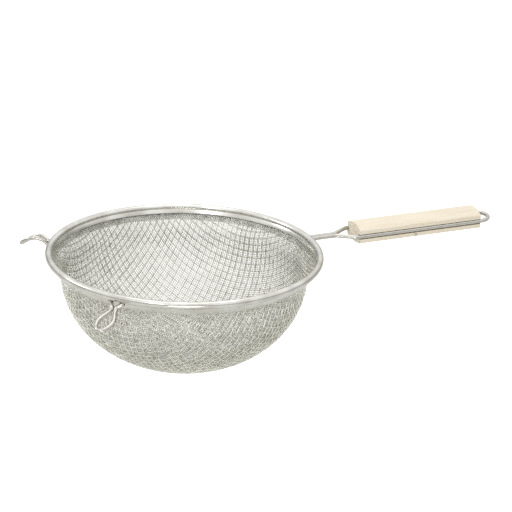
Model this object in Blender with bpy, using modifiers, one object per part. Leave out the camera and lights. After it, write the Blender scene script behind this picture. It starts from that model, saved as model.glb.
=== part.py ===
"""Double sieve strainer: a bowl of two woven steel meshes, one inside the other, in a rolled rim.

The rim is a sheet band rolled over a hoop wire, with two legs that clamp the edges of both meshes.
Two bent wire hooks stand out of the rim opposite the handle, to rest on a bucket. The handle is one
hairpin of wire in the side grooves of a wooden grip, and its bend is the hanging loop.

Frame: metres, +Z up. The origin is the centre of the rim's bead. The handle runs along +X.
"""

import math

import bmesh
import bpy
from mathutils import Matrix, Vector

MM = 0.001
COLLECTION_NAME = "double_sieve_strainer"

# Driving dimensions, in millimetres
FACETS = 48                 # sides of every turned piece
GAP = 0.3                   # clearance between touching pieces
MERGE = 0.00001             # metres, for the modifiers that merge points

RIM_RADIUS = 126.5          # centre of the bead
BEAD_RADIUS = 3.5           # outside of the rolled bead
SHEET = 0.6                 # thickness of the band
HOOP_RADIUS = BEAD_RADIUS - SHEET - GAP
BEAD_STEPS = 16             # points round the bead
HOOP_STEPS = 10             # points round the hoop wire inside it
LEG_SLOPE = math.radians(58.0)      # how steeply the two legs run inwards and down
OUTER_LEG = 12.0            # from the bead's centre to the outer leg's end, along the slope
INNER_LEG = 6.5
COARSE_SHELL = 1.2          # thickness of each woven mesh
FINE_SHELL = 0.7
INNER_FACE = 2.4            # the inner leg's inside face, measured across the slope

BOWL_TOP = -11.0            # height where the bowl's curve would stand upright
BOWL_RADIUS = 115.9         # outside of the bowl there
BOWL_START = 0.082          # radians down the curve, where the bowl leaves the slope for it
BOWL_DEPTH = 97.0           # from there to the bottom
BOWL_FULLNESS = 2.2         # 2 is an ellipse, more is a fuller bowl
BOWL_STEPS = 12             # points from the bowl's top to its bottom
MESH_EDGE = 3.9             # each mesh's cut edge, from the bead's centre, along the slope
BEND_ALONG = 19.5           # where the coarse mesh bends from the slope into the bowl
BEND_SHIFT = 0.287          # how much later a mesh bends for each millimetre that it lies inside

HOOK_WIRE = 2.0             # radius
HOOK_ANGLE = math.radians(142.0)
HOOK_HALF_PITCH = 6.0       # half the distance between a hook's two holes
HOOK_NECK = 2.35            # half the width where its legs meet
HOOK_LOOP = 7.3             # half the width of its loop
HOOK_LOOP_LENGTH = 12.6     # from the loop's widest place to its tip

HOOK_STEPS = 4              # points for each stretch of a hook's spine
NECK_DELAY = 1.5            # how far past the spine's first bend the legs meet
HOOK_END_TILT = 0.15        # the wire's flat end meets the inner leg a little askew
HOLE_ALONG = 5.6            # centre of a hook's hole, from the bead's centre, along the slope

HOLE_REACH = 3.0            # how far a cutter runs past the outer leg
HOOK_HOLE = 2.8             # radius of the holes that the hooks pass through
DRILL_SIDES = 12
LEFT_TWIST = 0.22

PUNCH_RADIUS = 1.8
PUNCH_ALONG = 6.9
PUNCH_ANGLE = math.radians(13.3)    # of each empty hole, from the point opposite the handle

HANDLE_WIRE = 2.1           # radius
LEG_PITCH = HANDLE_WIRE + GAP / 2
WELD_X = 155.0              # the legs run side by side as far as this
GRIP_START = 174.2
GRIP_END = 303.0
GRIP_HALF_WIDTH = 14.6
GRIP_HALF_SIDE = 6.3        # half the height of the flat sides
CROWN = 4.0                 # rise of the top
BELLY = 2.2                 # fall of the underside
CROWN_STEPS = 10
BELLY_STEPS = 8
GROOVE_STEPS = 8
GROOVE_INSET = 1.7          # wire's centre to the grip's side
GROOVE_FLARE = 0.25         # how much the groove's mouth opens
LEG_SPREAD = GRIP_HALF_WIDTH - GROOVE_INSET
HANDLE_ROOT = RIM_RADIUS + HOOP_RADIUS + GAP    # the wire's two ends, against the hoop
FORK_REACH = 2.5            # how far each bend runs from its corner
KNEE_REACH = 2.5
KNEE_LEAD = 3.2             # from the second bend to the grip
TURN_CENTRE = GRIP_END + 0.3
LOOP_TIP = 316.4            # centre of the wire at the hanging loop's end
BEND_STEPS = 4
TURN_STEPS = 12

BRAD_X = 233.0
BRAD_Z = -4.1
BRAD_HEAD = 1.1
BRAD_HEAD_DEPTH = 0.7
BRAD_SHANK = 0.6
BRAD_LENGTH = 9.0
BRAD_POINT = 1.0            # length of the point
BRAD_FACETS = 12

Point = tuple[float, float]


def clear_scene() -> None:
    """Remove every object, so that the script can be run again."""
    for item in list(bpy.data.objects):
        bpy.data.objects.remove(item, do_unlink=True)


def make_collection(name: str) -> bpy.types.Collection:
    """Return a collection of this name, linked to the scene."""
    found = bpy.data.collections.get(name) or bpy.data.collections.new(name)
    if name not in bpy.context.scene.collection.children:
        bpy.context.scene.collection.children.link(found)
    return found


def make_material(name: str, colour: tuple[float, float, float], metallic: float, roughness: float):
    """Return a Principled material."""
    material = bpy.data.materials.new(name)
    material.use_nodes = True
    shader = material.node_tree.nodes["Principled BSDF"]
    shader.inputs["Base Color"].default_value = (*colour, 1.0)
    shader.inputs["Metallic"].default_value = metallic
    shader.inputs["Roughness"].default_value = roughness
    return material


def slope_point(across: float, along: float) -> Point:
    """A point in the rim's section, from the bead's centre: across the legs (positive is towards
    the inside of the bowl) and along them (positive is inwards and down)."""
    radius = RIM_RADIUS - along * math.cos(LEG_SLOPE) - across * math.sin(LEG_SLOPE)
    height = -along * math.sin(LEG_SLOPE) + across * math.cos(LEG_SLOPE)
    return radius, height


def arc(centre: Point, radius: float, start: float, end: float, steps: int) -> list[Point]:
    """Points on an arc, both ends included."""
    angles = [start + (end - start) * i / steps for i in range(steps + 1)]
    return [(centre[0] + radius * math.cos(a), centre[1] + radius * math.sin(a)) for a in angles]


# Places across the rim's section, from the inside of the bowl outwards
FINE_FACE = INNER_FACE - SHEET - GAP - FINE_SHELL       # the fine mesh's outer face
COARSE_FACE = FINE_FACE - GAP - COARSE_SHELL            # the coarse mesh's outer face
OUTER_FACE = COARSE_FACE - GAP - SHEET                  # the outer leg's outside face


def band_profile() -> list[Point]:
    """The band's outside: up the inner leg, round the bead and down the outer leg."""
    centre = (RIM_RADIUS, 0.0)
    inner_foot = math.sqrt(BEAD_RADIUS ** 2 - INNER_FACE ** 2)
    outer_foot = math.sqrt(BEAD_RADIUS ** 2 - OUTER_FACE ** 2)
    first = slope_point(INNER_FACE, inner_foot)
    last = slope_point(OUTER_FACE, outer_foot)
    start = math.atan2(first[1], first[0] - RIM_RADIUS) % (2.0 * math.pi)
    end = math.atan2(last[1], last[0] - RIM_RADIUS)
    bead = arc(centre, BEAD_RADIUS, start, end, BEAD_STEPS)
    return [slope_point(INNER_FACE, INNER_LEG)] + bead + [slope_point(OUTER_FACE, OUTER_LEG)]


def bowl_profile(face: float, inset: float) -> list[Point]:
    """A mesh's outer face: down the slope between the band's legs, then down the bowl to its bottom.

    face is its place across the rim's section, and inset how far it lies inside the bowl's outline.
    """
    bend = BEND_ALONG + BEND_SHIFT * inset
    points = [slope_point(face, along) for along in (MESH_EDGE, 0.5 * (MESH_EDGE + bend), bend)]
    top = BOWL_TOP + BEND_SHIFT * inset
    depth = top - (BOWL_TOP - BOWL_DEPTH + inset)
    for i in range(BOWL_STEPS + 1):
        angle = BOWL_START + (0.5 * math.pi - BOWL_START) * i / BOWL_STEPS
        drop = math.sin(angle) ** (2.0 / BOWL_FULLNESS)
        points.append(((BOWL_RADIUS - inset) * math.cos(angle), top - depth * drop))
    points[-1] = (0.0, points[-1][1])
    return points


def turned(name: str, profile: list[Point], closed: bool, parts: bpy.types.Collection) -> bpy.types.Object:
    """A profile in the XZ plane, in millimetres, turned about Z with a Screw modifier."""
    mesh = bpy.data.meshes.new(name)
    count = len(profile)
    edges = [(i, i + 1) for i in range(count - 1)]
    if closed:
        edges.append((count - 1, 0))
    mesh.from_pydata([(r * MM, 0.0, z * MM) for r, z in profile], edges, [])
    piece = bpy.data.objects.new(name, mesh)
    parts.objects.link(piece)
    screw = piece.modifiers.new("Turn", "SCREW")
    screw.steps = FACETS
    screw.render_steps = FACETS
    screw.use_merge_vertices = True
    screw.merge_threshold = MERGE
    screw.use_smooth_shade = True
    return piece


def solidify(piece: bpy.types.Object, thickness: float) -> None:
    """Give an open surface a wall on its inner side."""
    wall = piece.modifiers.new("Wall", "SOLIDIFY")
    wall.thickness = thickness * MM
    wall.offset = -1.0
    wall.use_even_offset = True


def wire(name: str, points: list[Vector], radius: float, parts: bpy.types.Collection) -> bpy.types.Object:
    """A round wire along points in millimetres, as a curve with filled ends."""
    curve = bpy.data.curves.new(name, "CURVE")
    curve.dimensions = "3D"
    curve.bevel_depth = radius * MM
    curve.bevel_resolution = 2
    curve.use_fill_caps = True
    spline = curve.splines.new("POLY")
    spline.points.add(len(points) - 1)
    for target, point in zip(spline.points, points):
        target.co = (*(point * MM), 1.0)
    piece = bpy.data.objects.new(name, curve)
    parts.objects.link(piece)
    return piece


def smooth_route(knots: list[Vector], steps: int) -> list[Vector]:
    """A smooth curve through the knots, with this many points for each stretch."""
    padded = [knots[0] * 2 - knots[1]] + knots + [knots[-1] * 2 - knots[-2]]
    route = []
    for i in range(1, len(padded) - 2):
        a, b, c, d = padded[i - 1:i + 3]
        for step in range(steps):
            t = step / steps
            route.append(0.5 * (2 * b + (c - a) * t + (2 * a - 5 * b + 4 * c - d) * t * t
                                + (3 * b - a - 3 * c + d) * t ** 3))
    route.append(knots[-1].copy())
    return route


def cut(piece: bpy.types.Object, cutter: bpy.types.Object) -> None:
    """Take the cutter's shape out of the piece."""
    boolean = piece.modifiers.new("Cut " + cutter.name, "BOOLEAN")
    boolean.operation = "DIFFERENCE"
    boolean.solver = "EXACT"
    boolean.object = cutter


def drill(name: str, start: Vector, end: Vector, radius: float, cutters: bpy.types.Collection):
    """A round cutter between two points in millimetres."""
    axis = end - start
    bpy.ops.mesh.primitive_cylinder_add(vertices=DRILL_SIDES, radius=radius * MM, depth=axis.length * MM)
    tool = bpy.context.object
    tool.name = name
    tool.matrix_world = (Matrix.Translation((start + end) * 0.5 * MM)
                         @ axis.to_track_quat("Z", "Y").to_matrix().to_4x4())
    for holder in list(tool.users_collection):
        holder.objects.unlink(tool)
    cutters.objects.link(tool)
    tool.hide_render = True
    tool.display_type = "WIRE"
    return tool


def around(angle: float, radius: float, side: float, height: float) -> Vector:
    """A point by its angle round the rim, its distance out, its sideways place and its height."""
    out = Vector((math.cos(angle), math.sin(angle), 0.0))
    sideways = Vector((-math.sin(angle), math.cos(angle), 0.0))
    return out * radius + sideways * side + Vector((0.0, 0.0, height))


# Each hook's spine, seen from the side: distance from the axis, and height. Both leave the outer leg
# just under the bead. The left hook arches over, and the right one hangs lower, bent by hand.
HOOK_ROOT = slope_point(OUTER_FACE, HOLE_ALONG)
LEFT_SPINE = [(128.0, -7.2), (131.9, -5.6), (135.0, -2.4), (139.0, -0.3), (143.6, 0.4), (149.2, -1.2),
              (154.2, -4.3), (159.2, -7.6)]
RIGHT_SPINE = [(127.6, -8.4), (131.6, -11.9), (138.0, -15.0), (147.0, -18.5), (155.8, -21.9)]


def eased(start: float, end: float, share: float) -> float:
    """A value between two others that leaves and arrives gently."""
    return start + (end - start) * (0.5 - 0.5 * math.cos(math.pi * share))


def hook_route(angle: float, spine: list[Point], twist: float) -> list[Vector]:
    """The wire's centre: out of one hole, to the neck, round the loop and back to the other hole.

    twist lifts one side of the loop and lowers the other, by this much for each unit of width.
    """
    buried = slope_point(INNER_FACE - SHEET - GAP - HOOK_END_TILT, HOLE_ALONG)
    side_view = [Vector((*buried, 0.0)), Vector((*HOOK_ROOT, 0.0))] + [Vector((*p, 0.0)) for p in spine]
    fine = smooth_route(side_view, HOOK_STEPS)
    reach = [0.0]
    for a, b in zip(fine, fine[1:]):
        reach.append(reach[-1] + (b - a).length)
    root = reach[HOOK_STEPS]
    neck = reach[2 * HOOK_STEPS] + NECK_DELAY
    widest = reach[-1] - HOOK_LOOP_LENGTH
    half = []
    for point, place in zip(fine, reach):
        if place <= root:
            width = HOOK_HALF_PITCH
        elif place <= neck:
            width = eased(HOOK_HALF_PITCH, HOOK_NECK, (place - root) / (neck - root))
        elif place <= widest:
            width = eased(HOOK_NECK, HOOK_LOOP, (place - neck) / (widest - neck))
        else:
            break
        turned_by = twist * max(0.0, place - root) / (widest - root)
        half.append((point.x, width, point.y, turned_by * width))
    # the round end, stepped evenly round half an ellipse
    for step in range(TURN_STEPS + 1):
        phase = 0.5 * math.pi * step / TURN_STEPS
        place = widest + HOOK_LOOP_LENGTH * math.sin(phase)
        index = max(i for i, value in enumerate(reach[:-1]) if value <= place + 1e-9)
        share = min(1.0, (place - reach[index]) / (reach[index + 1] - reach[index]))
        spot = fine[index].lerp(fine[index + 1], share)
        width = HOOK_LOOP * math.cos(phase)
        half.append((spot.x, width, spot.y, twist * width))
    one_side = [around(angle, radius, side, height + lift) for radius, side, height, lift in half[:-1]]
    other_side = [around(angle, radius, -side, height - lift)
                  for radius, side, height, lift in reversed(half[:-1])]
    tip = around(angle, half[-1][0], 0.0, half[-1][2])
    return one_side + [tip] + other_side


def eased_corner(before: Vector, corner: Vector, after: Vector, reach: float) -> list[Vector]:
    """Points round a bend in the wire, which starts and ends this far from its corner."""
    start = corner + (before - corner).normalized() * reach
    end = corner + (after - corner).normalized() * reach
    times = [i / BEND_STEPS for i in range(BEND_STEPS + 1)]
    return [(1 - t) ** 2 * start + 2 * t * (1 - t) * corner + t * t * end for t in times]


def handle_route() -> list[Vector]:
    """The hairpin's centre, from the rim round the hanging loop and back."""
    root = Vector((HANDLE_ROOT, -LEG_PITCH, 0.0))
    fork = Vector((WELD_X, -LEG_PITCH, 0.0))
    knee = Vector((GRIP_START - KNEE_LEAD, -LEG_SPREAD, 0.0))
    turn = Vector((TURN_CENTRE, -LEG_SPREAD, 0.0))
    half = [root] + eased_corner(root, fork, knee, FORK_REACH) + eased_corner(fork, knee, turn, KNEE_REACH)
    half.append(turn)
    for step in range(1, TURN_STEPS + 1):
        phase = 0.5 * math.pi * step / TURN_STEPS
        half.append(Vector((TURN_CENTRE + (LOOP_TIP - TURN_CENTRE) * math.sin(phase),
                            -LEG_SPREAD * math.cos(phase), 0.0)))
    half[-1].y = 0.0
    other = [Vector((p.x, -p.y, p.z)) for p in reversed(half[:-1])]
    return half + other


def grip_outline() -> list[Point]:
    """The grip's section: crowned top, bellied underside, flat sides with a groove in each."""
    half_groove = HANDLE_WIRE + GAP
    crown_radius = (GRIP_HALF_WIDTH ** 2 + CROWN ** 2) / (2 * CROWN)
    belly_radius = (GRIP_HALF_WIDTH ** 2 + BELLY ** 2) / (2 * BELLY)
    crown_angle = math.asin(GRIP_HALF_WIDTH / crown_radius)
    belly_angle = math.asin(GRIP_HALF_WIDTH / belly_radius)
    up, down = 0.5 * math.pi, -0.5 * math.pi
    top = arc((0.0, GRIP_HALF_SIDE + CROWN - crown_radius), crown_radius, up - crown_angle,
              up + crown_angle, CROWN_STEPS)
    bottom = arc((0.0, -GRIP_HALF_SIDE - BELLY + belly_radius), belly_radius, down - belly_angle,
                 down + belly_angle, BELLY_STEPS)
    left = arc((-LEG_SPREAD, 0.0), half_groove, up, down, GROOVE_STEPS)
    right = arc((LEG_SPREAD, 0.0), half_groove, down, -up - math.pi, GROOVE_STEPS)
    mouth = half_groove + GROOVE_FLARE
    return (top + [(-GRIP_HALF_WIDTH, mouth)] + left + [(-GRIP_HALF_WIDTH, -mouth)]
            + bottom + [(GRIP_HALF_WIDTH, -mouth)] + right + [(GRIP_HALF_WIDTH, mouth)])


def make_grip(parts: bpy.types.Collection) -> bpy.types.Object:
    """The wooden grip: its section as a flat curve, extruded along the handle and made a mesh."""
    curve = bpy.data.curves.new("grip_outline", "CURVE")
    curve.dimensions = "2D"
    curve.fill_mode = "BOTH"
    curve.extrude = 0.5 * (GRIP_END - GRIP_START) * MM
    spline = curve.splines.new("POLY")
    outline = grip_outline()
    spline.points.add(len(outline) - 1)
    for target, (across, height) in zip(spline.points, outline):
        target.co = (across * MM, height * MM, 0.0, 1.0)
    spline.use_cyclic_u = True
    block = bpy.data.objects.new("grip_block", curve)
    parts.objects.link(block)
    # the curve's X, Y and Z become the handle's sideways, up and along
    block.matrix_world = (Matrix.Translation((0.5 * (GRIP_START + GRIP_END) * MM, 0.0, 0.0))
                          @ Matrix(((0, 0, 1, 0), (1, 0, 0, 0), (0, 1, 0, 0), (0, 0, 0, 1))))
    return to_mesh(block, "grip", parts)


def to_mesh(source: bpy.types.Object, name: str, parts: bpy.types.Collection) -> bpy.types.Object:
    """Make a mesh object of a curve, with its caps welded, and remove the curve."""
    bpy.context.view_layer.update()
    evaluated = source.evaluated_get(bpy.context.evaluated_depsgraph_get())
    mesh = bpy.data.meshes.new_from_object(evaluated)
    shape = bmesh.new()
    shape.from_mesh(mesh)
    bmesh.ops.remove_doubles(shape, verts=shape.verts, dist=MERGE)
    shape.to_mesh(mesh)
    shape.free()
    piece = bpy.data.objects.new(name, mesh)
    piece.matrix_world = source.matrix_world.copy()
    parts.objects.link(piece)
    bpy.data.objects.remove(source, do_unlink=True)
    return piece


def make_brad(name: str, side: int, parts: bpy.types.Collection) -> bpy.types.Object:
    """A nail driven into one side of the grip, its head against the wood."""
    face = BRAD_HEAD_DEPTH
    profile = [(0.0, face), (BRAD_HEAD, face), (BRAD_HEAD, 0.0), (BRAD_SHANK, 0.0),
               (BRAD_SHANK, BRAD_POINT - BRAD_LENGTH), (0.0, -BRAD_LENGTH)]
    piece = turned(name, profile, False, parts)
    piece.modifiers["Turn"].steps = BRAD_FACETS
    piece.modifiers["Turn"].render_steps = BRAD_FACETS
    outwards = Vector((0.0, float(side), 0.0))
    place = Vector((BRAD_X, side * (GRIP_HALF_WIDTH + GAP), BRAD_Z))
    piece.matrix_world = (Matrix.Translation(place * MM)
                          @ outwards.to_track_quat("Z", "Y").to_matrix().to_4x4())
    return piece


def build() -> None:
    """Make every piece, in its place."""
    clear_scene()
    parts = make_collection(COLLECTION_NAME)
    cutters = make_collection(COLLECTION_NAME + "_cutters")

    rim_steel = make_material("rim_steel", (0.62, 0.62, 0.60), 1.0, 0.28)
    mesh_steel = make_material("mesh_steel", (0.56, 0.56, 0.53), 1.0, 0.36)
    wire_steel = make_material("bright_wire", (0.70, 0.70, 0.69), 1.0, 0.16)
    wood = make_material("grip_wood", (0.86, 0.79, 0.66), 0.0, 0.6)

    band = turned("rim_band", band_profile(), False, parts)
    solidify(band, SHEET)
    coarse = turned("coarse_mesh", bowl_profile(COARSE_FACE, 0.0), False, parts)
    solidify(coarse, COARSE_SHELL)
    fine = turned("fine_mesh", bowl_profile(FINE_FACE, COARSE_SHELL + GAP), False, parts)
    solidify(fine, FINE_SHELL)
    section = arc((RIM_RADIUS, 0.0), HOOP_RADIUS, math.pi, -math.pi, HOOP_STEPS)[:-1]
    hoop = turned("rim_hoop", section, True, parts)

    spines = {"pot_hook_left": (HOOK_ANGLE, LEFT_SPINE, LEFT_TWIST),
              "pot_hook_right": (-HOOK_ANGLE, RIGHT_SPINE, 0.0)}
    hooks = []
    for name, (angle, spine, twist) in spines.items():
        route = hook_route(angle, spine, twist)
        hooks.append(wire(name, route, HOOK_WIRE, parts))
        for label, first, second in (("a", route[0], route[HOOK_STEPS]),
                                     ("b", route[-1], route[-1 - HOOK_STEPS])):
            outward = (second - first).normalized()
            tool = drill(f"{name}_mesh_hole_{label}", first - outward * GAP, second, HOOK_WIRE + GAP, cutters)
            for shell in (coarse, fine):
                cut(shell, tool)
            cut(band, drill(f"{name}_hole_{label}", first + outward * GAP,
                            second + outward * HOLE_REACH, HOOK_HOLE, cutters))

    handle = wire("handle_wire", handle_route(), HANDLE_WIRE, parts)
    for side in (-1, 1):
        start = Vector((HANDLE_ROOT - 1.0, side * LEG_PITCH, 0.0))
        cut(band, drill(f"handle_hole_{side}", start, start + Vector((8.0, 0.0, 0.0)),
                        HANDLE_WIRE + GAP, cutters))
    for side in (-1, 1):
        angle = math.pi + side * PUNCH_ANGLE
        inner = slope_point(0.0, PUNCH_ALONG)
        outer = slope_point(OUTER_FACE - HOLE_REACH, PUNCH_ALONG)
        cut(band, drill(f"punch_{side}", around(angle, inner[0], 0.0, inner[1]),
                        around(angle, outer[0], 0.0, outer[1]), PUNCH_RADIUS, cutters))

    grip = make_grip(parts)
    brads = []
    for name, side in (("brad_left", 1), ("brad_right", -1)):
        brads.append(make_brad(name, side, parts))
        mouth = Vector((BRAD_X, side * (GRIP_HALF_WIDTH + 2.0), BRAD_Z))
        end = Vector((BRAD_X, side * (GRIP_HALF_WIDTH - BRAD_LENGTH), BRAD_Z))
        cut(grip, drill(name + "_hole", mouth, end, BRAD_SHANK + GAP, cutters))

    for piece in (band, hoop):
        piece.data.materials.append(rim_steel)
    for piece in (coarse, fine):
        piece.data.materials.append(mesh_steel)
    for piece in [handle, *hooks, *brads]:
        piece.data.materials.append(wire_steel)
    grip.data.materials.append(wood)


build()
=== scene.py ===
"""Double sieve strainer: its finishes, its woven wire and its studio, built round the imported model.

The model gives every place and size. This script turns the rim's band smoothly, weaves the two steel
meshes wire by wire, bends the hooks and the handle, shapes the wooden grip, and lights the whole.
Sizes are in millimetres until a mesh is made, and the blender scene is in metres.
"""

from __future__ import annotations

import logging
import math
from dataclasses import dataclass, field
from enum import Enum
from typing import Any, Protocol

import bmesh
import bpy
import numpy as np
from mathutils import Matrix, Vector

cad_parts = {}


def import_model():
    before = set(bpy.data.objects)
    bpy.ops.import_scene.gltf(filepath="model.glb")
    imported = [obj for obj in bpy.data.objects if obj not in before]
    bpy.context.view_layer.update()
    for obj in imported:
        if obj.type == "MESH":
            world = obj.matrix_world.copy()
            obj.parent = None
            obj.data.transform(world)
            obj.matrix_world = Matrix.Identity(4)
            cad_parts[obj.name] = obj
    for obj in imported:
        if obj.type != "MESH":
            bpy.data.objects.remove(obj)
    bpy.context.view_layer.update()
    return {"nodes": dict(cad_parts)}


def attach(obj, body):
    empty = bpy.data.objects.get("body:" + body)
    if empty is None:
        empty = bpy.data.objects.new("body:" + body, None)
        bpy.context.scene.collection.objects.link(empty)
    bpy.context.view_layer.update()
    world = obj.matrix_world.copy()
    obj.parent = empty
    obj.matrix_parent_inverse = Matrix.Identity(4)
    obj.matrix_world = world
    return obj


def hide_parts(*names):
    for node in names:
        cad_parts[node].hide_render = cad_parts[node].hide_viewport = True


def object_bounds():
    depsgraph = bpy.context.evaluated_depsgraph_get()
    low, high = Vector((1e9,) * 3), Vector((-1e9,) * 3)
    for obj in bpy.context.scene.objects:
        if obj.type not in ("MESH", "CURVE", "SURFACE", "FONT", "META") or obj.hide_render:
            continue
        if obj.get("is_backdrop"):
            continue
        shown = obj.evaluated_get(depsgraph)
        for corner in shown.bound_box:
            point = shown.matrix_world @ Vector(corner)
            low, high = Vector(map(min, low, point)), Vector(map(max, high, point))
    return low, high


MM = 0.001
MERGE = 0.00001      # metres within which two points are one
LOG = logging.getLogger("strainer")

Point = tuple[float, float]
Triple = tuple[float, float, float]
Colour = tuple[float, float, float, float]
Socket = bpy.types.NodeSocket
Hole = tuple[Vector, Vector, float]      # a drill's start and end, and its radius, in millimetres
Wire = tuple[np.ndarray, np.ndarray]     # a wire's centre line, and the surface's normals along it


class Slot(Enum):
    """The record's material slots."""

    RIM = "rim_steel"
    MESH = "mesh_steel"
    WIRE = "bright_wire"
    WOOD = "grip_wood"


class Side(Enum):
    """A side of the handle's plane, seen from the bowl along the handle."""

    LEFT = 1
    RIGHT = -1


class Family(Enum):
    """The two sets of wires in a plain weave, and whether a set starts over or under."""

    WARP = 1
    WEFT = -1


# ---------------------------------------------------------------- materials


def linear(code: str) -> Colour:
    """Turn an sRGB hex colour into linear light.

    Args:
        code: six hex digits, with or without a hash.

    Returns:
        Red, green, blue and an alpha of one.
    """
    digits = code.lstrip("#")
    parts = [int(digits[i:i + 2], 16) / 255.0 for i in (0, 2, 4)]
    red, green, blue = (p / 12.92 if p <= 0.04045 else ((p + 0.055) / 1.055) ** 2.4 for p in parts)
    return red, green, blue, 1.0


def grey(level: float) -> Colour:
    """A neutral colour, or the level of a ramp that drives a number."""
    return level, level, level, 1.0


def feed(tree: bpy.types.NodeTree, node: bpy.types.Node, inputs: dict[Any, Any]) -> None:
    """Set a shader node's inputs.

    Args:
        tree: the node tree.
        node: the node.
        inputs: its inputs by name or number, each a value or the output socket that feeds it.
    """
    for name, value in inputs.items():
        if isinstance(value, Socket):
            tree.links.new(value, node.inputs[name])
        else:
            node.inputs[name].default_value = value


def add_node(tree: bpy.types.NodeTree, kind: str, inputs: dict[Any, Any] | None = None,
             **settings: Any) -> bpy.types.Node:
    """Add one shader node.

    Args:
        tree: the node tree to add it to.
        kind: the node's type name, without its "ShaderNode".
        inputs: its inputs, as feed() takes them.
        settings: its properties by name.

    Returns:
        The new node.
    """
    node = tree.nodes.new("ShaderNode" + kind)
    for name, value in settings.items():
        setattr(node, name, value)
    feed(tree, node, inputs or {})
    return node


def add_ramp(tree: bpy.types.NodeTree, level: Socket, *stops: tuple[float, Colour]) -> Socket:
    """Add a colour ramp.

    Args:
        tree: the node tree to add it to.
        level: what drives it.
        stops: each stop's place from 0 to 1, and its colour.

    Returns:
        The ramp's colour.
    """
    node = add_node(tree, "ValToRGB", {"Fac": level})
    ramp = node.color_ramp
    while len(ramp.elements) < len(stops):
        ramp.elements.new(1.0)
    for element, (place, colour) in zip(ramp.elements, stops):
        element.position = place
        element.color = colour
    return node.outputs["Color"]


class Finish(Protocol):
    """What a piece is made of and how its surface was made."""

    def material(self) -> bpy.types.Material:
        """Build the material."""
        ...


class Recipe:
    """A material with one Principled shader, and the patterns that drive it."""

    def __init__(self, name: str) -> None:
        """Start the material under its name."""
        self.material = bpy.data.materials.new(name)
        self.material.use_nodes = True
        self.tree = self.material.node_tree
        self.shader = self.tree.nodes["Principled BSDF"]

    def place(self) -> Socket:
        """The Object coordinates."""
        return add_node(self.tree, "TexCoord").outputs["Object"]

    def stored(self, name: str, part: str) -> Socket:
        """A stored attribute, by its name, as a "Vector" or a "Fac"."""
        return add_node(self.tree, "Attribute", attribute_name=name).outputs[part]

    def drawn(self, vector: Socket, scale: Triple, turn: Triple = (0.0, 0.0, 0.0)) -> Socket:
        """Coordinates that are scaled along each axis, and turned."""
        return add_node(self.tree, "Mapping",
                        {"Vector": vector, "Scale": scale, "Rotation": turn}).outputs["Vector"]

    def noise(self, vector: Socket, size: float, detail: float, roughness: float,
              warp: float = 0.0) -> Socket:
        """A noise pattern, its size in millimetres."""
        inputs = {"Vector": vector, "Scale": 1.0 / (size * MM), "Detail": detail,
                  "Roughness": roughness, "Distortion": warp}
        return add_node(self.tree, "TexNoise", inputs).outputs["Fac"]

    def ranged(self, level: Socket, low: float, high: float) -> Socket:
        """A pattern's middle levels, turned into a number between two others."""
        return add_node(self.tree, "MapRange", {"Value": level, "From Min": 0.3, "From Max": 0.7,
                                                "To Min": low, "To Max": high}).outputs["Result"]

    def mixed(self, share: Socket, first: Socket, second: Colour) -> Socket:
        """Two colours, mixed."""
        return add_node(self.tree, "Mix", {"Factor": share, 6: first, 7: second}, data_type="RGBA").outputs[2]

    def relief(self, level: Socket, strength: float, depth: float, invert: bool = False) -> Socket:
        """A bump, its depth in millimetres."""
        return add_node(self.tree, "Bump", {"Height": level, "Strength": strength, "Distance": depth * MM},
                        invert=invert).outputs["Normal"]

    def made(self, **inputs: Any) -> bpy.types.Material:
        """Set the shader's inputs, each named with underscores for spaces, and return the material."""
        feed(self.tree, self.shader, {name.replace("_", " "): value for name, value in inputs.items()})
        return self.material


@dataclass(frozen=True)
class RolledSteel:
    """Cold-rolled steel strip, bent by rollers: satin, with faint lines along the strip and dull clouds."""

    name: str = "rolled_steel"
    bright: str = "#D3D2CC"
    dull: str = "#B7B5AD"
    roughness: float = 0.16
    line_spacing: float = 0.5       # mm between roller lines
    line_stretch: float = 0.02      # a line's width over its length
    cloud_size: float = 22.0        # mm

    def material(self) -> bpy.types.Material:
        """Build the material. The lines follow the "strip" attribute: along the strip, then across it."""
        recipe = Recipe(self.name)
        strip = recipe.drawn(recipe.stored("strip", "Vector"), (self.line_stretch, 1.0, 1.0))
        lines = recipe.noise(strip, self.line_spacing, 3.0, 0.6)
        clouds = recipe.noise(recipe.place(), self.cloud_size, 4.0, 0.55)
        tint = add_ramp(recipe.tree, clouds, (0.32, linear(self.dull)), (0.62, linear(self.bright)))
        return recipe.made(Metallic=1.0, Base_Color=tint, Normal=recipe.relief(lines, 0.12, 0.02),
                           Roughness=recipe.ranged(lines, self.roughness - 0.05, self.roughness + 0.09))


@dataclass(frozen=True)
class WovenWire:
    """Tinned steel wire, woven and pressed into a bowl: satin, with a few duller, warmer stretches, and
    painted dark as shade in the band's pocket round the holes."""

    name: str
    bright: str
    dull: str
    # near black: painted shade where the band's pocket hides the wires round its holes
    grime: str = "#0C0B0A"
    roughness: float = 0.30
    patch_size: float = 9.0         # mm between stretches of a different tone

    def material(self) -> bpy.types.Material:
        """Build the material on Object coordinates and the painted shade attribute, which darkens the wires
        round the band's holes.
        """
        recipe = Recipe(self.name)
        patches = recipe.noise(recipe.place(), self.patch_size, 5.0, 0.65)
        tint = add_ramp(recipe.tree, patches, (0.35, linear(self.dull)), (0.65, linear(self.bright)))
        # painted shade: the tint is mixed towards near black round the band's holes
        colour = recipe.mixed(recipe.stored("grime", "Fac"), tint, linear(self.grime))
        return recipe.made(Metallic=1.0, Base_Color=colour,
                           Roughness=recipe.ranged(patches, self.roughness + 0.1, self.roughness - 0.05))


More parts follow.
